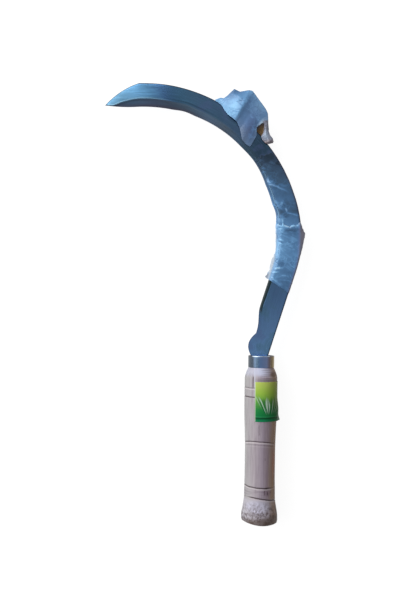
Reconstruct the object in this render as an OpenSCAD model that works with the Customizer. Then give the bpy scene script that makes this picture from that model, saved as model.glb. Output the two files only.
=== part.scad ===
/* [Handle] */
// Length of the bamboo grip from the butt to the step under the ferrule
grip_len = 153.5; // [120:0.5:180]
// Radius of the butt face
butt_r = 17.8; // [16:0.1:20]
// Widest radius of the root flare
flare_r = 18.2; // [17:0.1:21]
// Height of the root flare, where it meets the straight cane
flare_h = 25.5; // [16:0.5:34]
// Radius of the waist, where the hand closes
waist_r = 15.2; // [13:0.1:16.5]
// Height of the waist above the butt
waist_at = 69; // [60:1:78]
// Radius of the swell under the shoulder
swell_r = 16.4; // [15:0.1:18]
// Height of the rounded shoulder that runs up to the ferrule
shoulder_h = 11; // [8:0.5:16]
// Height of the middle node of the cane
mid_node_at = 77.4; // [70:0.1:80]
// Distance from the shoulder's top down to the upper node
high_node_drop = 19.8; // [18:0.1:26]
// Distance between the two scars of the root node
root_scars = 10.8; // [8:0.1:12]
// Distance between the two scars of the middle node
mid_scars = 3.2; // [3:0.1:6]
// Distance between the two scars of the upper node
high_scars = 8.9; // [6:0.1:10]
// Depth of the scars that the leaf sheaths left
scar_depth = 0.35; // [0.1:0.05:0.6]
// Height of the ridge above each scar
scar_ridge = 0.15; // [0:0.05:0.25]

/* [Ferrule] */
// Outer radius of the steel ferrule
ferrule_r = 13; // [11.5:0.1:14.5]
// Height of the ferrule
ferrule_h = 11.8; // [8:0.1:16]
// Wall of the ferrule
ferrule_wall = 0.7; // [0.5:0.05:1.2]
// Width of the rim that is turned in over the end of the cane
rim_w = 2.2; // [1:0.1:3]
// Clearance between the ferrule and the cane that it is driven on
ferrule_fit = 0.1; // [0.05:0.05:0.2]

/* [Blade] */
// Thickness at the heel
blade_t = 2.2; // [1.6:0.1:3]
// Thickness at the nose
nose_t = 1.5; // [1:0.1:2.2]
// Chamfer along both edges of the spine
spine_chamfer = 0.3; // [0.1:0.05:0.4]
// Thickness left along the cutting edge
edge_t = 0.3; // [0.2:0.05:0.5]
// Width of the shoulder that stands on the cane
shoulder_w = 16.9; // [14:0.1:18]
// Distance from the handle's axis to the spine at the shoulder
spine_side = 6.7; // [5:0.1:8.5]
// Angle of the straight lower spine against the crosswise direction
spine_lean = 72.7; // [66:0.1:80]
// Length of the straight lower spine
straight_len = 87.7; // [70:0.1:110]
// Length of the tighter lower bow of the spine
low_bow_len = 57.1; // [45:0.1:70]
// Angle through which the lower bow turns
low_bow_turn = 27.6; // [20:0.1:34]
// Length of the wide upper bow of the spine
high_bow_len = 227.5; // [190:0.5:250]
// Angle through which the upper bow turns
high_bow_turn = 81.5; // [70:0.1:90]
// Length of the clipped nose along its back
clip_len = 41.1; // [34:0.1:50]
// Break in the spine where the nose is clipped
clip_break = 16.9; // [10:0.1:22]
// Angle through which the clipped back curves down to the point
clip_turn = 30; // [20:0.5:34]
// How far the edge bows out between the clip and the point
clip_belly = 0.9; // [0:0.1:2]
// Width of the blade just above the heel lobe
neck_w = 18.8; // [17:0.1:21]
// Width of the plain lower blade
lower_w = 23; // [21:0.1:26]
// Width at the belly, where the blade is broadest
belly_w = 24.2; // [23:0.1:28]
// Width at the middle of the upper bow
waist_w = 21.7; // [20:0.1:25]
// Width where the nose is clipped
nose_w = 23.7; // [22:0.1:27]

/* [Heel and bevel] */
// Length of the round lobe at the heel
lobe_len = 22; // [18:0.5:26]
// How far the lobe stands out on the cutting side
lobe_out = 5.6; // [3:0.1:7]
// Distance from the shoulder to where the grinding starts
plunge_at = 46; // [40:0.5:60]
// Length over which the bevel runs in
plunge_len = 7; // [4:0.5:14]
// Width of the ground bevel at the heel
bevel_heel = 4.6; // [3:0.1:7]
// Width of the ground bevel at the nose
bevel_nose = 10.6; // [7:0.1:12]
// Where the bevel starts to narrow towards the point, as a share of the clipped length
ridge_from = 0.1; // [0:0.02:0.4]
// Where the bevel has run out, as a share of the clipped length
ridge_to = 0.88; // [0.7:0.02:0.96]

/* [Tang] */
// Length of the tang inside the cane
tang_len = 72; // [50:1:95]
// Width of the tang under the shoulder
tang_w = 9; // [7:0.1:12]
// Width of the tang at its end
tang_tip_w = 3; // [2:0.1:5]
// Clearance between the tang and its slot
tang_fit = 0.15; // [0.1:0.05:0.3]

/* [Label] */
// Height of the paper label
label_h = 39; // [25:0.5:50]
// Distance from the shoulder's top down to the label
label_drop = 13.5; // [10:0.5:24]
// Angle of the handle that the label covers
label_wrap = 128; // [80:1:180]
// Angle from the blade's face back to the label's left edge
label_back = 23; // [0:1:40]
// Thickness of the label
label_t = 0.25; // [0.15:0.05:0.5]
// Glue gap that carries the label over the scars
label_gap = 0.3; // [0.25:0.05:0.5]

/* [Film] */
// Clearance between the film and the steel
film_gap = 0.35; // [0.3:0.05:0.6]
// Thickness of the wound film, several turns together
film_t = 0.45; // [0.3:0.05:0.8]
// Distance along the spine from the shoulder to the lower film
film_start = 66; // [56:1:74]
// Length of the lower film
low_film_len = 75; // [66:1:84]
// Length of the upper film
high_film_len = 84.5; // [76:0.5:92]
// Length over which the lower film laps the upper one
film_lap = 5; // [3:0.5:8]
// How far the lower film's hem slants back on the cutting side
hem_slant = 7; // [0:0.5:12]
// Length of the loose end along the spine
flap_len = 73.8; // [62:0.2:84]
// How far the loose end stands out past the spine
flap_out = 26; // [18:0.5:32]
// How far the loose end's hem comes down over the blade's face
flap_down = 16.3; // [12:0.1:19]
// How high the loose end's fold stands above the blade
flap_rise = 12.5; // [8:0.5:16]

/* [Hidden] */
$fn = 96;

// Handle
cane_r = ferrule_r - ferrule_wall - ferrule_fit;
cane_top = grip_len + ferrule_h - ferrule_wall;
swell_y = grip_len - shoulder_h;
neck_step = 0.4;
neck_r = ferrule_r - neck_step;
flare_step = 0.35;
seat_gap = 0.2;
butt_round = 1.2;

// Bare radius of the cane, without its scars, at height y
function ease(a, b, f) = a + (b - a) * (1 - cos(180 * min(1, max(0, f)))) / 2;
function bare_r(y) =
    y < flare_h ? ease(flare_r, waist_r + flare_step, (y - butt_round * 3) / (flare_h - butt_round * 3))
    : y < waist_at ? ease(waist_r + flare_step, waist_r, (y - flare_h) / (waist_at - flare_h) * 2)
    : y < swell_y ? ease(waist_r, swell_r, (y - waist_at) / (swell_y - waist_at) * 1.5)
    : neck_r + (swell_r - neck_r) * (1 - pow(min(1, (y - swell_y) / shoulder_h), 1.6));

// Heights of the sheath scars, a pair at each node of the cane
high_node_y = grip_len - high_node_drop;
scars = [
    flare_h, flare_h + root_scars, mid_node_at, mid_node_at + mid_scars,
    high_node_y - high_scars, high_node_y];
scar_under = 0.8;
scar_crest = 0.3;
scar_over = 1.4;
function scar_profile(y) = [
    [bare_r(y - scar_under), y - scar_under],
    [bare_r(y) - scar_depth, y],
    [bare_r(y + scar_crest) + scar_ridge, y + scar_crest],
    [bare_r(y + scar_over), y + scar_over]];

// Plain cane between two heights, in n points
function between(y0, y1, n) = [for (i = [1:n]) let(y = y0 + (y1 - y0) * i / (n + 1)) [bare_r(y), y]];

// Spine of the blade as one path: start, direction, then length and turn of each stretch
shoulder_y = cane_top + seat_gap;
spine_start = [spine_side, shoulder_y];
spine_runs = [
    [straight_len, 0],
    [low_bow_len, low_bow_turn],
    [high_bow_len, high_bow_turn],
    [clip_len, clip_turn]];
corner_s = straight_len + low_bow_len + high_bow_len;
point_s = corner_s + clip_len;

// One stretch from the pose [x, y, direction]: straight, or an arc that turns to the left
function run(p, len, turn) =
    turn == 0 ? [p.x + len * cos(p.z), p.y + len * sin(p.z), p.z]
    : let(r = len * 180 / (PI * turn))
      [p.x + r * (sin(p.z + turn) - sin(p.z)), p.y - r * (cos(p.z + turn) - cos(p.z)), p.z + turn];
function walk(p, s, i = 0) =
    let(r = spine_runs[i], last = i == len(spine_runs) - 1, q = last ? [p.x, p.y, p.z + clip_break] : p)
    last || s <= r[0] ? run(q, min(s, r[0]), r[1] * min(s, r[0]) / r[0])
    : walk(run(q, r[0], r[1]), s - r[0], i + 1);
function spine(s) = walk([spine_start.x, spine_start.y, spine_lean], s);

// Width across the blade, eased between its named widths, with the lobe at the heel
lobe_clear = 2;
lower_short = 8;
widths = [
    [0, shoulder_w], [lobe_len + lobe_clear, neck_w], [plunge_at, lower_w],
    [straight_len - lower_short, lower_w],
    [straight_len + low_bow_len * 0.65, belly_w], [corner_s - high_bow_len * 0.52, waist_w],
    [corner_s, nose_w]];
function profile(list, s, i = 0) =
    i >= len(list) - 1 ? list[len(list) - 1][1]
    : s <= list[i + 1][0]
    ? ease(list[i][1], list[i + 1][1], (s - list[i][0]) / (list[i + 1][0] - list[i][0]))
    : profile(list, s, i + 1);
function lobe(s) = s > 0 && s < lobe_len ? lobe_out * pow(sin(180 * s / lobe_len), 0.9) : 0;
function width(s) = profile(widths, s) + lobe(s);

// Direction across the blade: level at the shoulder, square to the spine from the plunge on
function across(s) = spine(s).z + 90 + (90 - spine_lean) * max(0, 1 - s / plunge_at);
function spine_point(s) = [spine(s).x, spine(s).y];
function edge_point(s) =
    s <= corner_s
    ? spine_point(s) + width(s) * [cos(across(s)), sin(across(s))]
    : let(f = (s - corner_s) / clip_len)
      edge_point(corner_s) * (1 - f) + spine_point(point_s) * f
      + clip_belly * sin(180 * f) * [cos(across(corner_s)), sin(across(corner_s))];

// A place near the blade: distance along the spine, distance out past it, height
function place(s, out, z) =
    let(p = spine(s)) [p.x + out * sin(p.z), p.y - out * cos(p.z), z];

// One cross-section of the blade between its edge and spine points
function section(e, s, t, bevel, ground) =
    let(d = (s - e) / norm(s - e), c = min(spine_chamfer, norm(s - e) / 4),
        low = -t / 2, high = t / 2, lip = high + (low + edge_t - high) * ground)
    [[e.x, e.y, low], [e.x, e.y, lip],
     [e.x + d.x * bevel, e.y + d.y * bevel, high],
     [s.x - d.x * c, s.y - d.y * c, high],
     [s.x, s.y, high - c], [s.x, s.y, low + c],
     [s.x - d.x * c, s.y - d.y * c, low]];

// Share of the bevel's full width that is left, a share f along the clipped length
function ridge_left(f) = pow(sin(90 * min(1, max(0, (ridge_to - f) / (ridge_to - ridge_from)))), 0.75);

function blade_section(s) =
    let(f = s / point_s, e = edge_point(s), p = spine_point(s), w = norm(p - e),
        ground = min(1, max(0, (s - plunge_at) / plunge_len)) * ridge_left((s - corner_s) / clip_len),
        bevel = min(bevel_heel + (bevel_nose - bevel_heel) * f, w * 0.62))
    section(e, p, blade_t + (nose_t - blade_t) * f, max(0.1 * w, bevel * ground), ground);

function tang_section(y, w) = section([-w / 2, y], [w / 2, y], blade_t, w * 0.3, 0);

heel_steps = 24;
body_steps = 46;
clip_steps = 12;
tip_left = 0.985;
blade_rings = concat(
    [tang_section(shoulder_y - tang_len, tang_tip_w), tang_section(shoulder_y - 0.1, tang_w)],
    [for (i = [0:heel_steps - 1]) blade_section(plunge_at * i / heel_steps)],
    [for (i = [0:body_steps - 1]) blade_section(plunge_at + (corner_s - plunge_at) * i / body_steps)],
    [for (i = [0:clip_steps]) blade_section(corner_s + clip_len * tip_left * i / clip_steps)]);

// Skin over a row of rings, closed by a fan at each end
module loft(rings) {
    n = len(rings[0]);
    m = len(rings);
    polyhedron(
        points = [for (r = rings) each r],
        faces = concat(
            [for (i = [0:m - 2], k = [0:n - 1])
                let(a = i * n + k, b = i * n + (k + 1) % n) each [[a, a + n, b + n], [a, b + n, b]]],
            [[for (k = [0:n - 1]) k]],
            [[for (k = [n - 1:-1:0]) (m - 1) * n + k]]),
        convexity = 6);
}

// Skin over a row of outer rings and a row of inner rings, open at both ends
module sleeve(outer, inner) {
    n = len(outer[0]);
    m = len(outer);
    o = n * m;
    polyhedron(
        points = concat([for (r = outer) each r], [for (r = inner) each r]),
        faces = concat(
            [for (i = [0:m - 2], k = [0:n - 1])
                let(a = i * n + k, b = i * n + (k + 1) % n) each [[a, a + n, b + n], [a, b + n, b]]],
            [for (i = [0:m - 2], k = [0:n - 1])
                let(a = o + i * n + k, b = o + i * n + (k + 1) % n)
                each [[a, b + n, a + n], [a, b, b + n]]],
            [for (k = [0:n - 1]) let(j = (k + 1) % n) each [[k, j, o + j], [k, o + j, o + k]]],
            [for (k = [0:n - 1])
                let(j = (k + 1) % n, e = (m - 1) * n)
                each [[e + k, o + e + k, o + e + j], [e + k, o + e + j, e + j]]]),
        convexity = 8);
}

// Sheet over a net of points, half its thickness to each side
module sheet(net, wall) {
    m = len(net);
    n = len(net[0]);
    function at(i, j) = net[min(m - 1, max(0, i))][min(n - 1, max(0, j))];
    function normal(i, j) =
        let(c = cross(at(i + 1, j) - at(i - 1, j), at(i, j + 1) - at(i, j - 1))) c / norm(c);
    function side(k) = [for (i = [0:m - 1], j = [0:n - 1]) net[i][j] + normal(i, j) * k * wall / 2];
    o = m * n;
    polyhedron(
        points = concat(side(1), side(-1)),
        faces = concat(
            [for (i = [0:m - 2], j = [0:n - 2])
                let(a = i * n + j) each [[a, a + 1, a + n + 1], [a, a + n + 1, a + n]]],
            [for (i = [0:m - 2], j = [0:n - 2])
                let(a = o + i * n + j) each [[a, a + n + 1, a + 1], [a, a + n, a + n + 1]]],
            [for (j = [0:n - 2]) each [[j, o + j, o + j + 1], [j, o + j + 1, j + 1]]],
            [for (j = [0:n - 2])
                let(e = (m - 1) * n + j) each [[e, e + 1, o + e + 1], [e, o + e + 1, o + e]]],
            [for (i = [0:m - 2])
                let(e = i * n) each [[e, e + n, o + e + n], [e, o + e + n, o + e]]],
            [for (i = [0:m - 2])
                let(e = i * n + n - 1) each [[e, o + e + n, e + n], [e, o + e, o + e + n]]]),
        convexity = 8);
}

// One turn of film round the blade: its places on the edge side and spine side, and its folds
function film_ring(s, slant, edge_out, spine_out, fold, grow) =
    let(t = blade_t / 2 + film_gap + grow, h = t / 2, e = edge_out + film_gap * 1.6 + grow,
        p = spine_out + film_gap * 1.6 + grow, side = 0.1 + grow / 2)
    [for (q = [
        [0, e, -h], [0, e, h], [0, side, t],
        [0.33, 0, t + fold], [0.67, 0, t + fold / 2],
        [1, side, t], [1, p, h], [1, p, -h], [1, side, -t],
        [0.67, 0, -t], [0.33, 0, -t], [0, side, -t]])
        let(u = s + slant * (1 - q[0]), w = width(u))
        place(u, w * (q[0] - 1) + (q[0] == 0 ? -q[1] : q[1]), q[2])];

film_steps = 24;
lap_clear = 0.3;
low_wrinkle = 0.8;
high_wrinkle = 0.3;

// Distances along the lower film and how far it stands loose at the edge and at the spine
low_edge_loose = [
    [0, 0.2], [0.05, 0.8], [0.13, 3.2], [0.21, 1.6], [0.35, 2.2], [0.5, 2.6], [0.62, 0.6], [0.7, 0],
    [1, 0.2]];
low_spine_loose = [[0, 0], [0.45, 0.3], [0.75, 0.6], [0.83, 3.6], [0.91, 0.7], [1, 0]];

// Wrinkles across the film, as heights above its face
function fold_at(f, turns, high) = high * (0.5 + 0.5 * sin(360 * turns * f));

module blade() {
    color("lightslategray") loft(blade_rings);
}

module ferrule() {
    round_r = ferrule_wall;
    top = cane_top + ferrule_wall;
    color("lightsteelblue")
        rotate([-90, 0, 0])
            rotate_extrude()
                polygon(concat(
                    [[cane_r + ferrule_fit, grip_len], [ferrule_r, grip_len]],
                    [for (a = [0:15:90])
                        [ferrule_r - round_r + round_r * cos(a), top - round_r + round_r * sin(a)]],
                    [[ferrule_r - rim_w, top], [ferrule_r - rim_w, cane_top],
                     [cane_r + ferrule_fit, cane_top]]));
}

module handle() {
    slot_top = tang_w / 2 + tang_fit;
    slot_tip = tang_tip_w / 2 + tang_fit;
    slot_end = shoulder_y - tang_len - tang_fit;
    color("tan")
        difference() {
            rotate([-90, 0, 0])
                rotate_extrude()
                    polygon(concat(
                        [[0, 0], [butt_r, 0], [butt_r + (flare_r - butt_r) * 0.65, butt_round * 0.6],
                         [flare_r, butt_round * 2.5]],
                        between(butt_round * 3, scars[0] - scar_under, 6),
                        scar_profile(scars[0]), between(scars[0] + scar_over, scars[1] - scar_under, 2),
                        scar_profile(scars[1]), between(scars[1] + scar_over, scars[2] - scar_under, 5),
                        scar_profile(scars[2]), scar_profile(scars[3]),
                        between(scars[3] + scar_over, scars[4] - scar_under, 6),
                        scar_profile(scars[4]), between(scars[4] + scar_over, scars[5] - scar_under, 2),
                        scar_profile(scars[5]), between(scars[5] + scar_over, swell_y, 2),
                        [for (a = [0:12:84])
                            let(y = swell_y + shoulder_h * sin(a)) [bare_r(y), y]],
                        [[neck_r, grip_len], [cane_r, grip_len], [cane_r, cane_top], [0, cane_top]]));
            translate([0, 0, -blade_t / 2 - tang_fit])
                linear_extrude(blade_t + 2 * tang_fit)
                    polygon([
                        [-slot_tip, slot_end], [slot_tip, slot_end],
                        [slot_top, cane_top + 1], [-slot_top, cane_top + 1]]);
        }
}

module label() {
    top = grip_len - label_drop;
    steps = 8;
    heights = [for (i = [0:steps]) top - label_h * i / steps];
    color("yellowgreen")
        rotate([-90, 0, 0])
            rotate([0, 0, -90 - label_back])
                rotate_extrude(angle = label_wrap)
                    polygon(concat(
                        [for (y = heights) [bare_r(y) + label_gap + label_t, y]],
                        [for (i = [steps:-1:0]) [bare_r(heights[i]) + label_gap, heights[i]]]));
}

module film_lower() {
    // The top end flares by one film's thickness and a clearance, to lap over the upper film
    function flare(s) = (film_t + lap_clear) * min(1, max(0, (s - low_film_len) / film_lap + 2));
    function ring(f, grow) =
        film_ring(
            film_start + low_film_len * f, hem_slant * max(0, 1 - f * 3),
            profile(low_edge_loose, f), profile(low_spine_loose, f),
            fold_at(f, 4, low_wrinkle), grow + flare(low_film_len * f));
    color("lightskyblue")
        sleeve([for (i = [0:film_steps]) ring(i / film_steps, film_t)],
               [for (i = [0:film_steps]) ring(i / film_steps, 0)]);
}

module film_upper() {
    start = film_start + low_film_len - film_lap;
    function ring(f, grow) =
        film_ring(
            start + high_film_len * f, 0, 0, 0,
            fold_at(f, 5, high_wrinkle) * min(1, max(0, high_film_len * f / film_lap - 2)), grow);
    color("skyblue")
        sleeve([for (i = [0:film_steps]) ring(i / film_steps, film_t)],
               [for (i = [0:film_steps]) ring(i / film_steps, 0)]);
}

module film_end() {
    root = film_start + low_film_len - film_lap + high_film_len;
    low = blade_t / 2 + film_gap + film_t;
    // Length, reach past the spine and depth over the face at which the two nets below are drawn
    drawn = [73.8, 26, 16.3];
    // Columns of the folded sheet from its left tip: hem on the face, middle, outer fold, back
    tent = [
        [[73, -0.6, 0], [73.3, -0.2, 0.02], [73.6, 0.2, 0.03], [73.8, 0.7, 0.01], [73, 0.2, 0],
         [72, -1, 0]],
        [[64, -2.3, 0], [66, 0, 0.06], [67.5, 2.5, 0.1], [69, 5.4, 0.05], [67, 2, 0.03], [64, -2, 0]],
        [[57, -5, 0.05], [59.5, 1, 0.25], [61.5, 8, 0.35], [63.6, 15.2, 0.1], [61, 4, 0.03],
         [57, -4, 0]],
        [[51.5, -5.2, 0.1], [54.5, 2, 0.4], [57.5, 10, 0.55], [61.2, 19, 0.15], [57, 5, 0.03],
         [51, -6, 0]],
        [[45.8, -5.5, 0.3], [47.5, 4, 0.8], [49.5, 14, 1], [50, 25.8, 0.45], [47, 6, 0.03], [44, -7, 0]],
        [[38, -9, 0.1], [38, 2, 0.5], [37.5, 12, 0.6], [36, 23.2, 0.3], [35, 5, 0.03], [35, -7, 0]],
        [[29.4, -13, 0.05], [29, -3, 0.35], [28, 8, 0.45], [26.2, 20.9, 0.2], [26, 4, 0.03],
         [26, -6, 0]],
        [[19.5, -16.3, 0], [23, -5, 0.25], [25, 5, 0.35], [23.5, 18, 0.12], [22, 4, 0.03], [20, -5, 0]],
        [[13.8, -14.3, 0], [18.2, -3.5, 0.2], [22.2, 3.5, 0.28], [20.6, 14.5, 0.1], [20, 3, 0.03],
         [18, -4, 0]]];
    // Strip that runs back down to the spine beside the opening
    strip = [
        [[22.6, 7.8, 0.27], [22.5, 11, 0.25], [20.4, 14.5, 0.1]],
        [[15.5, 4.6, 0.2], [15, 7, 0.25], [13.5, 9.8, 0.1]],
        [[11.5, 2.6, 0.15], [11, 5, 0.25], [10, 7.6, 0.1]],
        [[6.5, 0.2, 0.1], [6.5, 3.5, 0.25], [6, 7.2, 0.1]],
        [[2.8, -1, 0.05], [2.8, 2.5, 0.2], [2.8, 6, 0.05]],
        [[0.6, -1.5, 0], [0.6, 0.3, 0.05], [0.8, 2.2, 0]]];
    function spot(q, back) =
        place(
            root + q[0] * flap_len / drawn[0],
            q[1] * (q[1] > 0 ? flap_out / drawn[1] : flap_down / drawn[2]),
            (back ? -1 : 1) * (low + q[2] * flap_rise));
    color("powderblue") {
        sheet([for (column = tent) [for (j = [0:5]) spot(column[j], j > 3)]], film_t * 1.6);
        sheet([for (column = strip) [for (q = column) spot(q, false)]], film_t * 2.4);
    }
}

blade();
ferrule();
handle();
label();
film_lower();
film_upper();
film_end();
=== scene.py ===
import math

import bmesh
import bpy
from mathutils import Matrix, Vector, noise


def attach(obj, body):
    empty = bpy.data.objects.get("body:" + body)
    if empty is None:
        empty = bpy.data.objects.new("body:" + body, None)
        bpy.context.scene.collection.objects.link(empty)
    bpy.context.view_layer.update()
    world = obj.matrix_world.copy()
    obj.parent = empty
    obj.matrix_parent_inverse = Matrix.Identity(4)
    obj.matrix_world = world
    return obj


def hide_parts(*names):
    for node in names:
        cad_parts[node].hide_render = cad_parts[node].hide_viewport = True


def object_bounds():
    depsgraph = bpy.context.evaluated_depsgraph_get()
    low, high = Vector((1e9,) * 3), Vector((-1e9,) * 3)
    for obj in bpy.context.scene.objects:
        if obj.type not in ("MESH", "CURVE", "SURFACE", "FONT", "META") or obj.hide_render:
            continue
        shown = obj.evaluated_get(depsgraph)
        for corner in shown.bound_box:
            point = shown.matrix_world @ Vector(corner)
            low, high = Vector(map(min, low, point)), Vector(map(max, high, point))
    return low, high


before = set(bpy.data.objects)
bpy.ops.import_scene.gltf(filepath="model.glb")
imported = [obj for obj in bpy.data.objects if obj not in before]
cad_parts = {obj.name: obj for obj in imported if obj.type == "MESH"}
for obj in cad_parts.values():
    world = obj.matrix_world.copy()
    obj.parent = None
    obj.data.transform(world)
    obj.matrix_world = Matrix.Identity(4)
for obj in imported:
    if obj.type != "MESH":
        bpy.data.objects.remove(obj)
cad_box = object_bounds()

# The studio. The sickle lies on a pale floor, lit by one wide soft box low on its left and by
# an even grey sky. The camera looks straight down, turned by the slight lean of the grip.
mm = 0.001
eye = Vector((-57.95, 213.43, 812)) * mm
lean = math.radians(0.779)
sensor = 36.0
frame_long = 613 * mm


def placed(name, data):
    """A new object in the scene."""
    made = bpy.data.objects.new(name, data)
    bpy.context.scene.collection.objects.link(made)
    return made


camera = placed("camera", bpy.data.cameras.new("camera"))
camera.location = eye
camera.rotation_euler = (0, 0, lean)
camera.data.sensor_width = sensor
camera.data.lens = sensor * eye.z / frame_long
bpy.context.scene.camera = camera
bpy.context.scene.view_settings.view_transform = "Standard"


class Socket:
    """A value in a node tree. Sums written with it add Math nodes."""

    def __init__(self, net, socket):
        self.net = net
        self.socket = socket

    def __add__(self, other):
        return self.net.math("ADD", self, other)

    def __radd__(self, other):
        return self.net.math("ADD", other, self)

    def __sub__(self, other):
        return self.net.math("SUBTRACT", self, other)

    def __rsub__(self, other):
        return self.net.math("SUBTRACT", other, self)

    def __mul__(self, other):
        return self.net.math("MULTIPLY", self, other)

    def __rmul__(self, other):
        return self.net.math("MULTIPLY", other, self)

    def __truediv__(self, other):
        return self.net.math("DIVIDE", self, other)

    def __pow__(self, other):
        return self.net.math("POWER", self, other)

    def __abs__(self):
        return self.net.math("ABSOLUTE", self)

    def rise(self, low, high):
        """A smooth step from 0 where this value is low to 1 where it is high, which may be less."""
        return self.net.add(
            "ShaderNodeMapRange", {"Value": self, "From Min": low, "From Max": high},
            interpolation_type="SMOOTHSTEP")

    def hump(self, half):
        """A smooth hump of height 1 where this value is 0, gone at half to each side."""
        return abs(self).rise(half, 0)


class Net:
    """A node tree that is built from expressions."""

    def __init__(self, tree):
        self.tree = tree

    def find(self, sockets, key):
        if isinstance(key, int):
            return sockets[key]
        exact = [s for s in sockets if s.identifier == key]
        return exact[0] if exact else sockets[key]

    def add(self, kind, sockets=None, out=0, **settings):
        """Adds a node, sets its sockets and settings, and gives one of its outputs."""
        node = self.tree.nodes.new(kind)
        for name, value in settings.items():
            setattr(node, name, value)
        for key, value in (sockets or {}).items():
            target = self.find(node.inputs, key)
            if isinstance(value, Socket):
                self.tree.links.new(value.socket, target)
            else:
                target.default_value = value
        return Socket(self, self.find(node.outputs, out))

    def math(self, operation, *values):
        return self.add("ShaderNodeMath", dict(enumerate(values)), operation=operation)

    def least(self, a, b):
        return self.math("MINIMUM", a, b)

    def most(self, a, b):
        return self.math("MAXIMUM", a, b)

    def apart(self, vector):
        """The three numbers of a vector."""
        node = self.add("ShaderNodeSeparateXYZ", {0: vector}).socket.node
        return [Socket(self, s) for s in node.outputs]

    def together(self, x, y, z):
        return self.add("ShaderNodeCombineXYZ", {0: x, 1: y, 2: z})

    def cloud(self, vector, scale, detail=3.0, rough=0.55):
        """Noise between 0 and 1. The scale is in cells to the metre."""
        return self.add("ShaderNodeTexNoise", {
            "Vector": vector, "Scale": scale, "Detail": detail, "Roughness": rough})

    def mix(self, factor, a, b):
        """Colour a where the factor is 0 and colour b where it is 1."""
        return self.add(
            "ShaderNodeMix", {"Factor_Float": factor, "A_Color": a, "B_Color": b}, "Result_Color",
            data_type="RGBA")


def colour(red, green, blue):
    """A linear colour from its three values between 0 and 255."""
    values = [v / 255 for v in (red, green, blue)]
    return (*[v / 12.92 if v <= 0.04045 else ((v + 0.055) / 1.055) ** 2.4 for v in values], 1)


class Finish(Net):
    """A material on one Principled shader, whose base colour is laid on in washes."""

    def __init__(self, name, **constants):
        self.material = bpy.data.materials.new(name)
        self.material.use_nodes = True
        super().__init__(self.material.node_tree)
        self.shader = self.tree.nodes["Principled BSDF"]
        self.base = None
        for key, value in constants.items():
            self.shader.inputs[key.replace("_", " ")].default_value = value

    def set(self, key, value):
        self.tree.links.new(value.socket, self.shader.inputs[key])

    def place(self):
        """Where a point of the surface is on the sickle."""
        return self.add("ShaderNodeTexCoord", out="Object")

    def place_in_mm(self):
        return [axis / mm for axis in self.apart(self.place())]

    def own(self, name):
        """A number that the piece's mesh holds for each point."""
        return self.add("ShaderNodeAttribute", out="Fac", attribute_name=name)

    def ramp(self, factor, *stops):
        """A colour that runs through stops of (place, red, green, blue)."""
        made = self.add("ShaderNodeValToRGB", {"Fac": factor})
        elements = made.socket.node.color_ramp.elements
        for stop in stops[1:-1]:
            elements.new(stop[0])
        for element, (place, *tint) in zip(elements, stops):
            element.position = place
            element.color = colour(*tint)
        return made

    def wash(self, factor, *tint):
        """Lays three values of a colour, or one colour made of nodes, over the base by a factor."""
        self.base = self.mix(factor, self.base, tint[0] if len(tint) == 1 else colour(*tint))

    def shade(self, base, value):
        """A colour made lighter or darker."""
        return self.add("ShaderNodeHueSaturation", {"Color": base, "Value": value})

    def relief(self, height, depth, strength=1.0):
        """Bumps on the surface, with a depth in metres."""
        self.set("Normal", self.add(
            "ShaderNodeBump", {"Height": height, "Distance": depth, "Strength": strength}))


centre = (Vector(cad_box[0]) + Vector(cad_box[1])) / 2
sky = bpy.data.worlds.new("sky")
sky.use_nodes = True
sky.node_tree.nodes["Background"].inputs["Color"].default_value = (0.34, 0.34, 0.34, 1)
bpy.context.scene.world = sky

box_wide = 2.3
box_high = 1.4
box_away = 1.6
box_watts = 30.0
soft_box = placed("soft_box", bpy.data.lights.new("soft_box", "AREA"))
soft_box.data.shape = "RECTANGLE"
soft_box.data.size = box_wide
soft_box.data.size_y = box_high
soft_box.data.energy = box_watts
towards = Vector((-0.72, 0.42, 0.54)).normalized()
soft_box.location = centre + towards * box_away
soft_box.rotation_euler = towards.to_track_quat("Z", "Y").to_euler()

floor_half = 60.0
floor_mesh = bpy.data.meshes.new("floor")
floor_z = cad_box[0][2] - 0.3 * mm
floor_mesh.from_pydata(
    [(x * floor_half, y * floor_half, floor_z) for x, y in ((-1, -1), (1, -1), (1, 1), (-1, 1))],
    [], [(0, 1, 2, 3)])
floor = placed("floor", floor_mesh)
pale = Finish("pale_floor", Roughness=0.9, Base_Color=(0.22, 0.22, 0.22, 1))
seen, glossy, through = [
    pale.add("ShaderNodeLightPath", out=f"Is {ray} Ray") for ray in ("Camera", "Glossy", "Transmission")]
glow = pale.least(seen + glossy + through, 1) * 0.9
pale.shader.inputs["Emission Strength"].default_value = 1
pale.set("Emission Color", pale.together(glow, glow, glow))
floor_mesh.materials.append(pale.material)


# The blade. One forging of blued tool steel: a bowed cutting part with its bevel ground on one
# side, a clipped nose, a plain lower part, a round lobe at the heel, and a tang inside the grip.
grip_len = 153.5 * mm
ferrule_r = 13 * mm
ferrule_h = 11.8 * mm
ferrule_wall = 0.7 * mm
cane_top = grip_len + ferrule_h - ferrule_wall
shoulder_y = cane_top + 0.2 * mm
heel_t = 2.2 * mm
nose_t = 1.5 * mm
chamfer = 0.3 * mm
edge_t = 0.3 * mm
spine_start = Vector((6.7 * mm, shoulder_y))
spine_lean = 72.7
straight_len = 87.7 * mm
low_bow_len = 57.1 * mm
high_bow_len = 227.5 * mm
clip_len = 41.1 * mm
clip_break = 16.9
clip_belly = 0.9 * mm
spine_runs = [(straight_len, 0), (low_bow_len, 27.6), (high_bow_len, 81.5), (clip_len, 30)]
corner_s = straight_len + low_bow_len + high_bow_len
point_s = corner_s + clip_len
plunge_at = 46 * mm
plunge_len = 7 * mm
lobe_len = 21 * mm
lobe_out = 5.3 * mm
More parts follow.
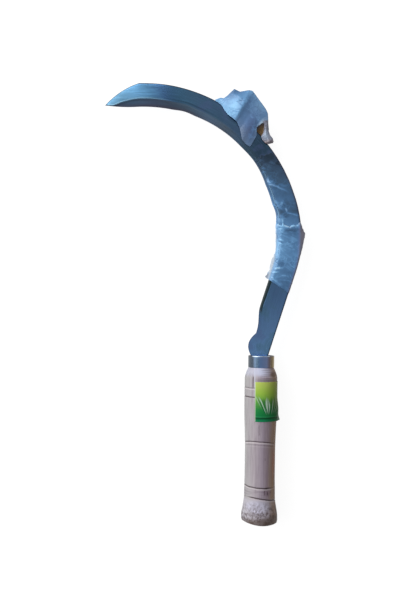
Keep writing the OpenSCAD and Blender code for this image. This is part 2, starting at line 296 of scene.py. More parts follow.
widths = [
    (0, 16.9 * mm), (lobe_len + 3 * mm, 18.8 * mm), (plunge_at, 23 * mm),
    (straight_len - 8 * mm, 23 * mm), (straight_len + low_bow_len * 0.65, 24.2 * mm),
    (corner_s - high_bow_len * 0.52, 21.7 * mm), (corner_s, 23.7 * mm)]
# Shallow dips of the hammered edge: place along the blade, half length and depth
edge_dips = [(319 * mm, 15 * mm, 0.9 * mm), (214 * mm, 30 * mm, 1.1 * mm), (153 * mm, 13 * mm, 1.2 * mm)]
bevel_from = 39 * mm
bevel_heel = 2.4 * mm
bevel_nose = 9.0 * mm
ridge_from = -0.1
ridge_to = 0.92
tang_len = 72 * mm


def clamp(value, low=0.0, high=1.0):
    return min(high, max(low, value))


def ease(a, b, share):
    return a + (b - a) * (1 - math.cos(math.pi * clamp(share))) / 2


def spine_pose(s):
    """Place and direction on the spine, a distance s from the shoulder."""
    x, y, heading = spine_start.x, spine_start.y, spine_lean
    for index, (length, turn) in enumerate(spine_runs):
        last = index == len(spine_runs) - 1
        heading += clip_break if last else 0
        part = s if last else min(s, length)
        turned = turn * part / length
        a, b = math.radians(heading), math.radians(heading + turned)
        if turn == 0:
            x, y = x + part * math.cos(a), y + part * math.sin(a)
        else:
            bow = length / math.radians(turn)
            x, y = x + bow * (math.sin(b) - math.sin(a)), y - bow * (math.cos(b) - math.cos(a))
        heading += turned
        s -= part
        if s <= 0:
            break
    return Vector((x, y)), heading


def profile(stops, at):
    """A value eased from stop to stop."""
    for (s0, v0), (s1, v1) in zip(stops, stops[1:]):
        if at <= s1:
            return ease(v0, v1, (at - s0) / (s1 - s0))
    return stops[-1][1]


def width_at(s):
    lobe = lobe_out * math.sin(math.pi * s / lobe_len) ** 0.9 if 0 < s < lobe_len else 0
    dips = sum(deep * max(0, 1 - ((s - at) / half) ** 2) ** 2 for at, half, deep in edge_dips)
    return profile(widths, s) + lobe - dips


def towards_angle(degrees):
    return Vector((math.cos(math.radians(degrees)), math.sin(math.radians(degrees))))


def across_at(s):
    """Direction across the blade: level at the shoulder, square to the spine past the plunge."""
    return towards_angle(spine_pose(s)[1] + 90 + (90 - spine_lean) * max(0, 1 - s / plunge_at))


def edge_point(s):
    if s <= corner_s:
        return spine_pose(s)[0] + width_at(s) * across_at(s)
    share = (s - corner_s) / clip_len
    line = edge_point(corner_s) * (1 - share) + spine_pose(point_s)[0] * share
    return line + clip_belly * math.sin(math.pi * share) * across_at(corner_s)


def thickness_at(s):
    return heel_t + (nose_t - heel_t) * s / point_s


def bevel_at(s, width):
    """Width of the ground bevel, and how far the grinding has run in."""
    run_out = clamp((ridge_to - (s - corner_s) / clip_len) / (ridge_to - ridge_from))
    ground = clamp((s - bevel_from) / plunge_len) * math.sin(math.pi / 2 * run_out) ** 1.15
    full = min(bevel_heel + (bevel_nose - bevel_heel) * s / point_s, width * 0.62)
    return max(0.1 * width, full * ground), ground


# The ridge is rounded over in the lower half of the blade, the bevel is ground slightly hollow, and
# a narrow lip is honed at the edge
ridge_round = [(240 * mm, 1.4 * mm), (330 * mm, 0.35 * mm)]
hollow = 0.05 * mm
honed = 0.3 * mm
bevel_cuts = 6
face_cuts = 7


def blade_ring(s, width, thick, bevel, ground):
    """One section from the edge over the face to the spine and back: (in from the edge, height)."""
    high, low = thick / 2, -thick / 2
    lip = high + (low + edge_t - high) * ground
    round_r = min(profile(ridge_round, s), bevel / 4)
    c = min(chamfer, width / 4)
    ring = [(0, low), (0, low + (lip - low) * (1 - 0.7 * ground)), (min(honed, bevel / 5), lip)]
    for k in range(1, bevel_cuts):
        share = k / bevel_cuts
        ring.append((honed + (bevel - round_r - honed) * share,
                     lip + (high - lip) * share - hollow * ground * math.sin(math.pi * share)))
    ring += [(bevel - round_r, high - (high - lip) * round_r / bevel), (bevel, high - 0.04 * mm * ground),
             (bevel + round_r, high)]
    face = width - c - bevel - round_r
    ring += [(bevel + round_r + face * k / face_cuts, high) for k in range(1, face_cuts)]
    ring += [(width - c, high), (width - 0.3 * c, high - 0.3 * c), (width, high - c), (width, low + c),
             (width - 0.3 * c, low + 0.3 * c), (width - c, low)]
    ring += [((width - c) * (1 - k / face_cuts), low) for k in range(1, face_cuts)]
    return ring


def net_mesh(name, rows, values, rows_meet=False, columns_meet=False, caps=False):
    """A mesh over rows of points. Values holds a list of numbers for each point, by name."""
    tall, wide = len(rows), len(rows[0])
    faces = []
    for i in range(tall if rows_meet else tall - 1):
        for k in range(wide if columns_meet else wide - 1):
            j, n = (k + 1) % wide, (i + 1) % tall
            faces.append((i * wide + k, i * wide + j, n * wide + j, n * wide + k))
    if caps:
        faces.append(tuple(range(wide)))
        faces.append(tuple((tall - 1) * wide + k for k in range(wide)))
    mesh = bpy.data.meshes.new(name)
    mesh.from_pydata([p for row in rows for p in row], [], faces)
    for key, numbers in values.items():
        mesh.attributes.new(key, "FLOAT", "POINT").data.foreach_set("value", numbers)
    return mesh


def piece_of(name, mesh):
    """A piece with its faces turned outwards."""
    turned = bmesh.new()
    turned.from_mesh(mesh)
    bmesh.ops.recalc_face_normals(turned, faces=turned.faces)
    turned.to_mesh(mesh)
    turned.free()
    mesh.shade_smooth()
    return placed(name, mesh)


blade_step = 1.2 * mm
heel_step = 0.6 * mm
stations = [heel_step * k for k in range(round(plunge_at / heel_step))]
steps = round((point_s - plunge_at) / blade_step)
stations += [plunge_at + (point_s * 0.999 - plunge_at) * k / steps for k in range(steps + 1)]

# The first 21 points of a section lie on the face's side. The face waves a little from the hammer,
# droops towards the nose and leans down to its spine there.
front_points = 21
wave = 0.05 * mm
nose_droop = 2.4 * mm
droop_from = 338 * mm
nose_cant = 0.9 * mm
rings = []
values = {"along": [], "from_ridge": [], "from_edge": [], "from_spine": [], "side": []}
# The tang's two sections, each a height and a width, come before those of the cutting part
tang = [(shoulder_y - tang_len, 3 * mm), (shoulder_y - 0.1 * mm, 9 * mm)]
for s in [None, None, *stations]:
    if s is None:
        y, width = tang[len(rings)]
        edge, back, thick = Vector((-width / 2, y)), Vector((width / 2, y)), heel_t
        bevel, ground, at = width * 0.3, 0, y - shoulder_y
    else:
        edge, back, thick, at = edge_point(s), spine_pose(s)[0], thickness_at(s), s
        width = (back - edge).length
        bevel, ground = bevel_at(s, width)
    inward = (back - edge).normalized()
    ring = []
    nose = clamp((at - droop_from) / (point_s - droop_from))
    for index, (a, z) in enumerate(blade_ring(at, width, thick, bevel, ground)):
        spot = edge + inward * a
        front = index < front_points
        if front and a > bevel:
            z += wave * noise.noise(Vector((spot.x, spot.y, 0)) / (22 * mm))
            z -= nose_cant * ease(0, 1, nose * 3) * ((a - bevel) / (width - bevel)) ** 1.5
        z -= nose_droop * nose ** 1.6
        ring.append((spot.x, spot.y, z))
        values["along"].append(at / mm)
        values["from_ridge"].append((a - bevel) / mm if ground > 0 else 20)
        values["from_edge"].append(a / mm)
        values["from_spine"].append((width - a) / mm)
        values["side"].append(1.0 if front else 0.0)
    rings.append(ring)
blade = piece_of("blade_forging", net_mesh("blade_forging", rings, values, columns_meet=True, caps=True))
blade.data.set_sharp_from_angle(angle=math.radians(28))

# The finish of the steel. The mesh holds each point's distances in millimetres, along the spine and
# from the ridge, the edge and the spine, and its side, which is 1 on the face and 0 on the back.
steel = Finish("blued_steel", Metallic=1.0, Roughness=0.24)
along, from_ridge, from_edge, from_spine, side = [steel.own(name) for name in values]
grain = steel.cloud(steel.together(along * 0.04, from_edge * 0.9, side), 1.0, 4.0, 0.65)
scratches = steel.cloud(steel.together(along * 1.4, from_edge * 0.06, side), 1.0, 2.0, 0.6)
blotch = steel.cloud(steel.place(), 45, 4.0, 0.6)
streaks = (grain - 0.5) * 0.9 + (blotch - 0.5) * 0.3

# The oil-blued face, from the heel to the nose. Its colour holds a painted reflection that makes the
# nose bright, and a painted shadow of the hood around the top end of the film.
reach = along + from_edge * -0.55 + streaks * 22 + 5
face = steel.ramp(
    reach / (point_s / mm), (0.0, 130, 180, 238), (0.06, 121, 165, 219), (0.12, 105, 145, 195),
    (0.17, 97, 136, 182), (0.5, 82, 112, 142), (0.54, 70, 98, 124), (0.6, 92, 124, 160),
    (0.74, 93, 132, 169), (0.79, 84, 129, 165), (0.83, 86, 128, 178), (0.865, 95, 146, 188),
    (0.905, 106, 158, 198), (0.95, 98, 142, 172))
near_nose = reach.rise(335, 375)
steel.base = steel.shade(face, 1 + streaks * (0.7 + near_nose))
stained = along.rise(330, 290)
steel.wash(blotch.rise(0.5, 0.62) * stained * 0.4, 96, 144, 164)
steel.wash(blotch.rise(0.46, 0.36) * stained * 0.3, 120, 136, 196)

# The ground bevel, mauve near its lip, with painted shade under the ridge. Near the nose the ridge
# carries a painted highlight line, and further back a blurred pair of a painted highlight and a
# painted shade streak.
fading = 1 + along.rise(340, 310) * 2
bevel_mask = from_ridge.rise(0.3 * fading, -0.6 * fading) * side
ground = steel.ramp(
    (along + streaks * 6) / (point_s / mm), (0.0, 60, 86, 112), (0.57, 81, 108, 131), (0.605, 96, 124, 155),
    (0.65, 112, 131, 152), (0.7, 116, 144, 176), (0.76, 104, 128, 152), (0.81, 94, 111, 133),
    (0.86, 97, 115, 144), (0.93, 100, 130, 162))
ground = steel.shade(ground, 0.6 + (scratches * 0.35 + grain * 0.65) * 0.8)
near_lip = (from_edge + streaks * 3).rise(4, 0.5) * along.rise(240, 340)
ground = steel.mix(near_lip * 0.55, ground, colour(102, 88, 106))
# Painted shade just under the ridge
under_ridge = (from_ridge + 1.5).hump(1.5) * along.rise(330, 380)
ground = steel.mix(under_ridge * 0.5, ground, colour(58, 76, 94))
steel.wash(bevel_mask, ground)
ridge_highlight = (from_ridge - 0.5).hump(1.0) * side * (along + streaks * 30).rise(330, 365)
steel.wash(ridge_highlight * 0.6, 156, 202, 228)
# A painted highlight on the bevel's side of the rounded ridge, and painted shade on the face's side
blurred = (along - 308).hump(48) * side
steel.wash((from_ridge + 1.3 + streaks * 2).hump(1.3) * blurred * 0.5, 124, 154, 180)
steel.wash((from_ridge - 1.5 + streaks * 2).hump(1.4) * blurred * 0.5, 50, 74, 98)

# The strip where the grinding runs in below the film, made rougher and painted dark as shade on the
# bevel, then the edge of the heel, painted shade along the edge at the tip, a painted highlight along
# the edge, and painted shade on the spine
run_in = 2.5 + along.rise(40, 70) * 0.9 + (blotch - 0.5) * 2
dark_strip = (from_edge - run_in).rise(1.1, -0.4) * along.rise(84, 76) * side
dark_strip = dark_strip * along.rise(38, 42)
run_in_shade = steel.mix(from_edge.rise(1.5, 0.4) * 0.6, colour(46, 62, 68), colour(104, 106, 102))
run_in_shade = steel.mix(along.rise(46, 42), run_in_shade, colour(60, 78, 92))
steel.wash(dark_strip, run_in_shade)
steel.wash(from_edge.rise(0.9, 0.3) * along.rise(42, 38) * side * 0.4, 52, 64, 84)
steel.wash(from_edge.rise(1.1, 0.4) * along.rise(392, 404) * side * 0.6, 40, 48, 62)
steel.wash(from_edge.rise(0.45, 0.15) * along.rise(90, 120) * 0.4, 150, 160, 175)
steel.wash(from_spine.rise(1.1 + along.rise(100, 80) * 0.6, 0.4) * 0.85, 44, 48, 58)
steel.set("Base Color", steel.base)
bright_nose = near_nose * (1 - bevel_mask)
steel.set("Roughness", 0.2 + grain * 0.08 + blotch * 0.04 + bright_nose * 0.16 + dark_strip * 0.5)
steel.relief(grain * (1 - bevel_mask) + scratches * bevel_mask, 0.03 * mm, 0.5)
blade.data.materials.append(steel.material)
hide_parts("blade")
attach(blade, "root")


# The grip. The root end of a bamboo culm, cut off below its lowest node, scraped, and turned down
# at the top to take the ferrule. Each node shows a pair of scars where its leaf sheath stood.
class Maker(Net):
    """A Geometry Nodes tree with named sizes, run on a piece before it becomes a plain mesh."""

    def __init__(self, name, sizes):
        tree = bpy.data.node_groups.new(name, "GeometryNodeTree")
        super().__init__(tree)
        tree.interface.new_socket("Geometry", in_out="INPUT", socket_type="NodeSocketGeometry")
        tree.interface.new_socket("Geometry", in_out="OUTPUT", socket_type="NodeSocketGeometry")
        self.sizes = {}
        for label, value in sizes.items():
            kind = "NodeSocketInt" if isinstance(value, int) else "NodeSocketFloat"
            item = tree.interface.new_socket(label, in_out="INPUT", socket_type=kind)
            self.sizes[item.identifier] = value
        self.inputs = tree.nodes.new("NodeGroupInput")

    def size(self, label):
        return Socket(self, self.find(self.inputs.outputs, label))

    def keep(self, geometry, label, value):
        """Stores a number for each point, for the material to read."""
        return self.add(
            "GeometryNodeStoreNamedAttribute", {"Geometry": geometry, "Name": label, "Value": value},
            data_type="FLOAT", domain="POINT")

    def finish(self, geometry, material):
        """Ends the tree."""
        made = self.add("GeometryNodeRealizeInstances", {0: geometry})
        made = self.add("GeometryNodeSetMaterial", {"Geometry": made, "Material": material})
        self.tree.links.new(made.socket, self.tree.nodes.new("NodeGroupOutput").inputs[0])

    def run(self, piece):
        """Adds the tree to a piece as its next modifier, with its sizes."""
        modifier = piece.modifiers.new(self.tree.name, "NODES")
        modifier.node_group = self.tree
        for key, value in self.sizes.items():
            modifier[key] = value


def harden(piece):
    """Turns what a piece's modifiers make into its plain mesh."""
    bpy.context.view_layer.update()
    seen_by = bpy.context.evaluated_depsgraph_get()
    mesh = bpy.data.meshes.new_from_object(piece.evaluated_get(seen_by), depsgraph=seen_by)
    piece.modifiers.clear()
    piece.data = mesh
    mesh.name = piece.name
    return piece


butt_r = 17.8 * mm
flare_r = 18.2 * mm
flare_h = 25.5 * mm
waist_r = 15.2 * mm
waist_at = 69 * mm
swell_r = 16.4 * mm
shoulder_h = 11 * mm
swell_y = grip_len - shoulder_h
neck_r = ferrule_r - 0.4 * mm
cane_r = ferrule_r - ferrule_wall - 0.1 * mm
flare_step = 0.35 * mm
flare_from = 3.6 * mm
shoulder_round = 1.6
turns = 2 * math.pi
oval = 0.008
oval_turn = 0.8

# Each scar: height, how far it dips to one side, the angle of its lowest point, how deep its cut
# is and how dark its painted shade, and how high the lip under it stands and how bright its painted
# highlight, both from 0 to 1, and how far it fades to the right or, if less than 0, to the left
scars = [
    (23.8, 2.6, 2.1, 1.0, 0.55, -0.8), (36.6, 1.2, 0.6, 0.95, 0.8, 0.8), (75.0, 3.0, 2.8, 0.2, 0.2, 0.5),
    (78.0, 3.3, 2.8, 0.75, 0.9, 0.8), (125.0, 0.1, 0.0, 0.85, 0.1, 0), (134.0, 0.1, 0.0, 0.4, 0.9, 0)]

culm = Maker("culm", {
    "Cane length": cane_top, "Butt radius": butt_r, "Flare radius": flare_r, "Waist radius": waist_r,
    "Swell radius": swell_r, "Neck radius": neck_r, "Cane radius": cane_r, "Cut skew": 0.066,
    "Around": 144, "Rows": 460})
grid = culm.add("GeometryNodeMeshGrid", {
    "Size X": 1.0, "Size Y": 1.0, "Vertices X": culm.size("Around"), "Vertices Y": culm.size("Rows")})
gx, gy, _ = culm.apart(culm.add("GeometryNodeInputPosition"))
turn = gx * turns
sine, cosine = culm.math("SINE", turn), culm.math("COSINE", turn)
share = gy + 0.5
# The first and the last of the rows, this share of them, close the two ends
cap = 0.06
y = culm.most(0, culm.least(1, (share - cap) / (1 - 2 * cap))) * culm.size("Cane length")
closing = culm.least(1, culm.least(share / cap, (1 - share) / cap))

# The radius, from the butt up over the flare, the waist and the swell to the neck
flare, waist = culm.size("Flare radius"), culm.size("Waist radius")
swell, neck = culm.size("Swell radius"), culm.size("Neck radius")
r = flare + (culm.size("Butt radius") - flare) * y.rise(2.4 * mm, 0)
r = r + (waist + flare_step - flare) * y.rise(flare_from, flare_h)
r = r - flare_step * y.rise(flare_h, (flare_h + waist_at) / 2)
r = r + (swell - waist) * y.rise(waist_at, waist_at + (swell_y - waist_at) / 1.5)
over = culm.most(0, culm.least(1, (y - swell_y) / shoulder_h))
r = r - (swell - neck) * over ** shoulder_round
r = r - (neck - culm.size("Cane radius")) * y.rise(grip_len - 0.05 * mm, grip_len + 0.15 * mm)
ring_spot = culm.together(sine, y * 6, cosine)
wander = culm.cloud(ring_spot, 3.0, 2.0) - 0.5
facing = cosine.rise(-0.1, 0.1)
groove_shade, crest_highlight = 0.0, 0.0
for height, dip, lowest, dark, light, fade in scars:
    off = y - height * mm + dip * mm * culm.math("COSINE", turn - lowest) + wander * 0.9 * mm
    worn = (sine * math.copysign(1, fade)).rise(0.5, 0.85) * facing
    cut = off.hump(0.95 * mm) * (1 - worn * abs(fade))
    lift = (off + 1.35 * mm).hump(1.0 * mm) * (1 - worn * abs(fade) * 0.8)
    r = r - cut * dark * 0.4 * mm + lift * light * 0.14 * mm
    groove_shade = groove_shade + cut * dark
    crest_highlight = crest_highlight + lift * light

# Splits in the rind, and the strokes of a bud scar, cut in and given painted shade: how far to the
# right, from which height to which, and half how wide
cracks = [
    (-8.0, 133.5, 146.0, 0.35), (-2.0, 86.5, 98.5, 0.3), (4.2, 62.0, 66.0, 0.15), (3.9, 27.8, 34.8, 0.34),
    (6.8, 27.8, 32.8, 0.42), (9.6, 29.6, 32.8, 0.25), (5.8, 33.4, 36.8, 1.2)]
split = 0.0
for x, y0, y1, half in cracks:
    stray = (culm.cloud(culm.together(y * 300, x, 0), 1.0, 1.0) - 0.5) * 0.8 * mm
    track = sine * waist_r - x * mm + stray
    ends = y.rise(y0 * mm, (y0 + 2) * mm) * y.rise(y1 * mm, (y1 - 2) * mm)
    split = split + track.hump(half * mm * 1.6) * ends * facing
groove_shade = groove_shade + split * 0.9
r = r - split * 0.25 * mm
rough_root = y.rise(flare_h, 6 * mm) * (culm.cloud(ring_spot, 6.0, 4.0, 0.7) - 0.5)
r = r + rough_root * 1.1 * mm
r = r * (1 + oval * culm.math("COSINE", turn * 2 + oval_turn)) * closing
x, z = r * sine, r * cosine
# The butt is sawn askew, and not quite flat
hewn = 0.5 * mm * culm.math("COSINE", turn * 2) + 0.25 * mm * culm.math("COSINE", turn * 3)
skewed = y - (culm.size("Cut skew") * x + hewn) * y.rise(12 * mm, 0)
shaped = culm.add("GeometryNodeSetPosition", {
    "Geometry": culm.keep(culm.keep(grid, "groove_shade", groove_shade), "crest_highlight", crest_highlight),
    "Position": culm.together(x, skewed, z)})
shaped = culm.add("GeometryNodeMergeByDistance", {"Geometry": shaped, "Distance": 0.002 * mm})

bamboo = Finish("bamboo", Roughness=0.5, Specular_IOR_Level=0.35)
culm.finish(shaped, bamboo.material)
blank = placed("bamboo_grip", bpy.data.meshes.new("bamboo_grip"))
culm.run(blank)
handle = piece_of("bamboo_handle", harden(blank).data)
bpy.data.objects.remove(blank)
handle.data.set_sharp_from_angle(angle=math.radians(50))

bx, by, bz = bamboo.place_in_mm()
groove_shade, crest_highlight = bamboo.own("groove_shade"), bamboo.own("crest_highlight")
root_top = flare_h / mm


def streaky(across, along, detail=2.0, rough=0.6):
    """Noise on the cane, with its cells to the millimetre across and along."""
    return bamboo.cloud(bamboo.together(bx * across, by * along, bz * across), 1.0, detail, rough)


def from_middle(x, y, half_x, half_y):
    """How far a point is from the middle of an oval mark, 1 at its rim."""
    return bamboo.math("SQRT", ((bx - x) / half_x) ** 2 + ((by - y) / half_y) ** 2)


fibre = streaky(0.7, 0.022, 3.0, 0.65)
fine = streaky(2.4, 0.06)
patch = streaky(0.09, 0.03, 3.0)
# Round the cane the colour runs from the bamboo's pale grey on the left through mauve to a warm brownish
# tint on the right: painted shade and a painted warm reflection on the side away from the light
bamboo.base = bamboo.ramp(
    (bx + (patch - 0.5) * 5) / (2 * swell_r / mm) + 0.5, (0.0, 178, 178, 177), (0.3, 180, 170, 177),
    (0.55, 164, 150, 165), (0.72, 152, 133, 142), (0.77, 160, 138, 130), (0.83, 160, 132, 108),
    (0.89, 154, 118, 82), (1.0, 140, 102, 66))
bamboo.wash(fibre.rise(0.42, 0.68) * 0.5, 132, 118, 130)
bamboo.wash(fine.rise(0.5, 0.75) * 0.3, 206, 200, 204)
# More of the painted warm reflection down the right side, part way up the grip
bamboo.wash((by - 60).hump(22) * bx.rise(9, 13) * 0.5, 168, 96, 74)
# A painted highlight, pale blue, on the shoulder under the ferrule, strongest left of the middle
shoulder = by.rise(swell_y / mm + 1, swell_y / mm + 6) * bx.rise(11, 5)
bamboo.wash(shoulder * (0.4 + (bx + 1).hump(9) * 0.4), 208, 214, 240)

# Marks of the lathe and the knife: fine rings on the shoulder and above the root, a dull band over
# the label, and a smudge at the ferrule. Then a painted highlight line beside the split.
rings = streaky(0.05, 1.0)
ringed = by.rise(139, 144) * bx.rise(-3, 3) * 0.7
ringed = ringed + (by - 31).hump(7) * bx.rise(6, 1) * 0.8
bamboo.wash(rings.rise(0.5, 0.66) * ringed * 0.7, 122, 112, 122)
bamboo.wash(rings.rise(0.46, 0.34) * ringed * 0.5, 214, 208, 216)
bamboo.wash((by - 141.6).hump(2.6) * bx.rise(-6, -3) * 0.45, 116, 112, 118)
smudge = (from_middle(11.5, 147, 3.2, 2.8) + (fibre - 0.5) * 0.8).rise(1.2, 0.5)
bamboo.wash(smudge * bz.rise(0, 2) * 0.75, 104, 80, 66)
# A thin painted highlight line running down the grip beside the split
bamboo.wash((bx + 7).hump(1) * by.rise(112, 138) * 0.5, 214, 220, 240)

# The root: paler, with a lavender bloom, mottled all over, and darker and browner towards the butt.
# Then the stain round the bud scar, the painted shade in the grooves and the painted highlights on the
# lips under them.
bamboo.wash(by.rise(root_top, root_top - 3) * bx.rise(16, 4) * 0.55, 206, 202, 214)
bamboo.wash(from_middle(-3, 17, 13.5, 7.5).rise(1.1, 0.5) * 0.5, 206, 206, 230)
mottle = streaky(0.15, 0.195, 5.0, 0.75)
knots = bamboo.cloud(bamboo.together(bx * 0.42, by * 0.3, bz * 0.3), 1.0, 3.0, 0.6)
all_root = by.rise(root_top - 1, root_top - 8)
low_root = (by - bx * 0.1).rise(18, 6)
bamboo.wash(mottle.rise(0.45, 0.58) * (all_root * 0.25 + low_root * 0.52), 98, 86, 88)
bamboo.wash(knots.rise(0.5, 0.6) * (all_root * 0.35 + low_root * 0.42), 88, 72, 74)
bamboo.wash(knots.rise(0.46, 0.36) * low_root * 0.4, 196, 188, 198)
bamboo.wash((by + (mottle - 0.5) * 16 - bx * 0.15).rise(9, 3) * 0.8, 92, 74, 64)
bud = (from_middle(6.4, 31.4, 5, 5) + (fibre - 0.5) * 1.4).rise(1.1, 0.4)
bamboo.wash(bud * bz.rise(0, 2) * 0.4, 112, 88, 108)
# Painted shade in the grooves and splits, and painted highlights on the lips under the scars
bamboo.wash(bamboo.least(groove_shade * 1.3, 1) * 0.95, 58, 42, 46)
bamboo.wash(bamboo.least(crest_highlight, 1) * 0.65, 226, 216, 220)
bamboo.set("Base Color", bamboo.base)
bamboo.set("Roughness", 0.42 + fibre * 0.2)
bamboo.relief(fibre * 0.6 + fine * 0.4, 0.12 * mm, 0.6)
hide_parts("handle")
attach(handle, "root")


# The ferrule. A ring drawn from thin steel, driven over the neck of the cane, with its top edge
# rolled in over the end of the wood.
rim_w = 2.2 * mm
top_y = grip_len + ferrule_h
roll_r = 0.7 * mm
ferrule_sides = 128
outline = [(ferrule_r - 0.25 * mm, grip_len), (ferrule_r, grip_len + 0.3 * mm)]
outline += [(ferrule_r, grip_len + h * mm) for h in (2, 4, 6, 8, 10)]
outline += [(ferrule_r - roll_r + roll_r * math.cos(math.radians(a)),
             top_y - roll_r + roll_r * math.sin(math.radians(a))) for a in range(0, 91, 15)]
outline += [(ferrule_r - rim_w, top_y), (ferrule_r - rim_w, cane_top), (cane_r + 0.1 * mm, cane_top),
            (cane_r + 0.1 * mm, grip_len)]
rings = []
for k in range(ferrule_sides):
    angle = turns * k / ferrule_sides
    rings.append([(r * math.sin(angle), y, r * math.cos(angle)) for r, y in outline])
ring_mesh = net_mesh("steel_ferrule", rings, {}, rows_meet=True, columns_meet=True)
ferrule = piece_of("steel_ferrule", ring_mesh)
ferrule.data.set_sharp_from_angle(angle=math.radians(35))
plated = Finish("ferrule_steel", Metallic=1.0, Roughness=0.3)
fx, fy, fz = plated.place_in_mm()
drawn = plated.cloud(plated.together(fx * 0.06, fy * 1.5, fz * 0.06), 1.0, 3.0, 0.6)
smear = plated.cloud(plated.place(), 120, 3.0, 0.6)
# Round the ring the colour is painted reflection: dark on the left with a pale streak of painted highlight,
# pale blue past the middle, and a warm brownish painted reflection on the right
painted_reflections = plated.ramp(
    (fx + (smear - 0.5) * 1.5) / (2 * ferrule_r / mm) + 0.5, (0.0, 84, 92, 100), (0.17, 80, 92, 106),
    (0.227, 88, 106, 128), (0.303, 76, 94, 112), (0.34, 92, 118, 144), (0.453, 120, 152, 204),
    (0.68, 147, 165, 211), (0.755, 144, 137, 155), (0.83, 131, 117, 106), (0.88, 98, 86, 60),
    (1.0, 150, 130, 90))
plated.base = plated.shade(painted_reflections, 0.8 + drawn * 0.25 + smear * 0.15)
# A painted highlight along the rolled top edge, turning dark towards the sides
rim = fy.rise(top_y / mm - 1.1, top_y / mm - 0.4)
rim_highlight_tone = plated.mix(abs(fx + 1).rise(7.5, 9.5), colour(212, 226, 238), colour(84, 80, 80))
plated.wash(rim * 0.9, rim_highlight_tone)
plated.set("Base Color", plated.base)
plated.set("Roughness", 0.26 + smear * 0.14)
plated.relief(drawn, 0.03 * mm, 0.5)
ferrule.data.materials.append(plated.material)
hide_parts("ferrule")
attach(ferrule, "root")


# The label. Glossy printed paper, glued round the upper grip over the scars. Its lower corner on
# the right has come away. The print fades from yellow-green to deep green over a dark foot line.
label_h = 39 * mm
label_top = grip_len - 13.5 * mm
label_from = math.radians(-24)
label_to = math.radians(100)
label_w = 35.5 * mm
paper_t = 0.14 * mm
label_gap = 0.2 * mm
corner_lift = 2.4 * mm
side_lift = 1.3 * mm
ripple_h = 0.12 * mm


def cane_radius(y):
    """Bare radius of the cane at a height."""
    if y < flare_h:
        return ease(flare_r, waist_r + flare_step, (y - flare_from) / (flare_h - flare_from))
    if y < waist_at:
        return ease(waist_r + flare_step, waist_r, 2 * (y - flare_h) / (waist_at - flare_h))
    if y < swell_y:
        return ease(waist_r, swell_r, 1.5 * (y - waist_at) / (swell_y - waist_at))
    return neck_r + (swell_r - neck_r) * (1 - min(1, (y - swell_y) / shoulder_h) ** shoulder_round)


def thicken(sheet, thickness):
    """Gives a sheet its thickness, half to each side, and makes it a plain mesh."""
    solid = sheet.modifiers.new("thickness", "SOLIDIFY")
    solid.thickness = thickness
    solid.offset = 0
    harden(sheet)
    sheet.data.shade_smooth()


columns, rows = 90, 60
paper, up, over_label = [], [], []
for i in range(rows + 1):
    down = 1 - i / rows
    y = label_top - label_h * down
    row = []
    for k in range(columns + 1):
        round_share = k / columns
        angle = label_from + (label_to - label_from) * round_share
        lift = corner_lift * clamp((round_share - 0.8) / 0.2) ** 1.6 * clamp((down - 0.8) / 0.2) ** 1.3
        lift += side_lift * ease(0, 1, (round_share - 0.5) / 0.3) * ease(0, 1, (down - 0.35) / 0.4)
        ripple = ripple_h * noise.noise(Vector((angle * 3, y * 150, 1)))
        radius = cane_radius(y) * (1 + oval * math.cos(2 * angle + oval_turn))
        radius += label_gap + lift + max(0, ripple)
        row.append((radius * math.sin(angle), y, radius * math.cos(angle)))
        up.append(1 - down)
        over_label.append(round_share)
    paper.append(row)
label = placed("paper_label", net_mesh("paper_label", paper, {"up": up, "over": over_label}))
thicken(label, paper_t)

ink = Finish("label_print", Roughness=0.45, Specular_IOR_Level=0.15)
up, over_label = ink.own("up"), ink.own("over")
ink.base = ink.ramp(
    up + (ink.cloud(ink.place(), 200) - 0.5) * 0.08, (0.0, 18, 144, 92), (0.1, 8, 104, 60),
    (0.14, 16, 124, 66), (0.3, 34, 136, 66), (0.5, 96, 166, 70), (0.72, 158, 198, 76), (1.0, 196, 214, 106))
ink.wash((up - 0.09).hump(0.05) * 0.7, 2, 66, 34)
ink.wash((up - 0.125).hump(0.02) * 0.5, 70, 180, 116)

# A plain drawing of a tuft of grass: pale blades that fan out from below the middle of the label
grass_x = (over_label - 0.45) * label_w
grass_y = (up - 0.16) * label_h
fan = grass_x / ink.most(grass_y + 9 * mm, 1 * mm)
blades = ink.cloud(ink.together(fan * 11, grass_y * 25, 0), 1.0, 1.0, 0.5)
tallest = 7 * mm + ink.cloud(ink.together(fan * 8, 3.0, 5.0), 1.0, 1.0) * 22 * mm
tuft = abs(fan).rise(0.62, 0.5) * grass_y.rise(0, 5 * mm)
tuft = tuft * grass_y.rise(tallest, tallest - 5 * mm)
ink.wash(tuft * 0.55, 16, 96, 56)
ink.wash(blades.rise(0.51, 0.6) * tuft * 0.8, 214, 236, 222)

# Painted shade darkens the print round the side, olive above and deep green below. The curled corner
# is pale, and a painted highlight runs down the left edge.
side_shade = ink.mix(up.rise(0.2, 0.6), colour(14, 54, 16), colour(98, 82, 4))
ink.wash(over_label.rise(0.22, 0.88) * 0.7, side_shade)
ink.wash(over_label.rise(0.93, 0.99) * up.rise(0.09, 0.02) * 0.8, 120, 226, 160)
ink.wash(over_label.rise(0.03, 0.008) * 0.6, 226, 236, 214)
ink.set("Base Color", ink.base)
label.data.materials.append(ink.material)
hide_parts("label")
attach(label, "root")


# The upper turns of film. Thin stretch film, wound tight round the blade over the steel's oil, with
# a few slanting wrinkles. It is painted darkest towards its top, in the hood's shadow, where it also
# lies closest on the steel.
film_start = 66 * mm
low_film_len = 75 * mm
high_film_len = 84.5 * mm
film_lap = 5 * mm
film_t = 0.12 * mm
film_gap = 0.12 * mm
hidden_lap = 13 * mm
around = 130
fold_h = 0.3 * mm
glow_w = 12 * mm


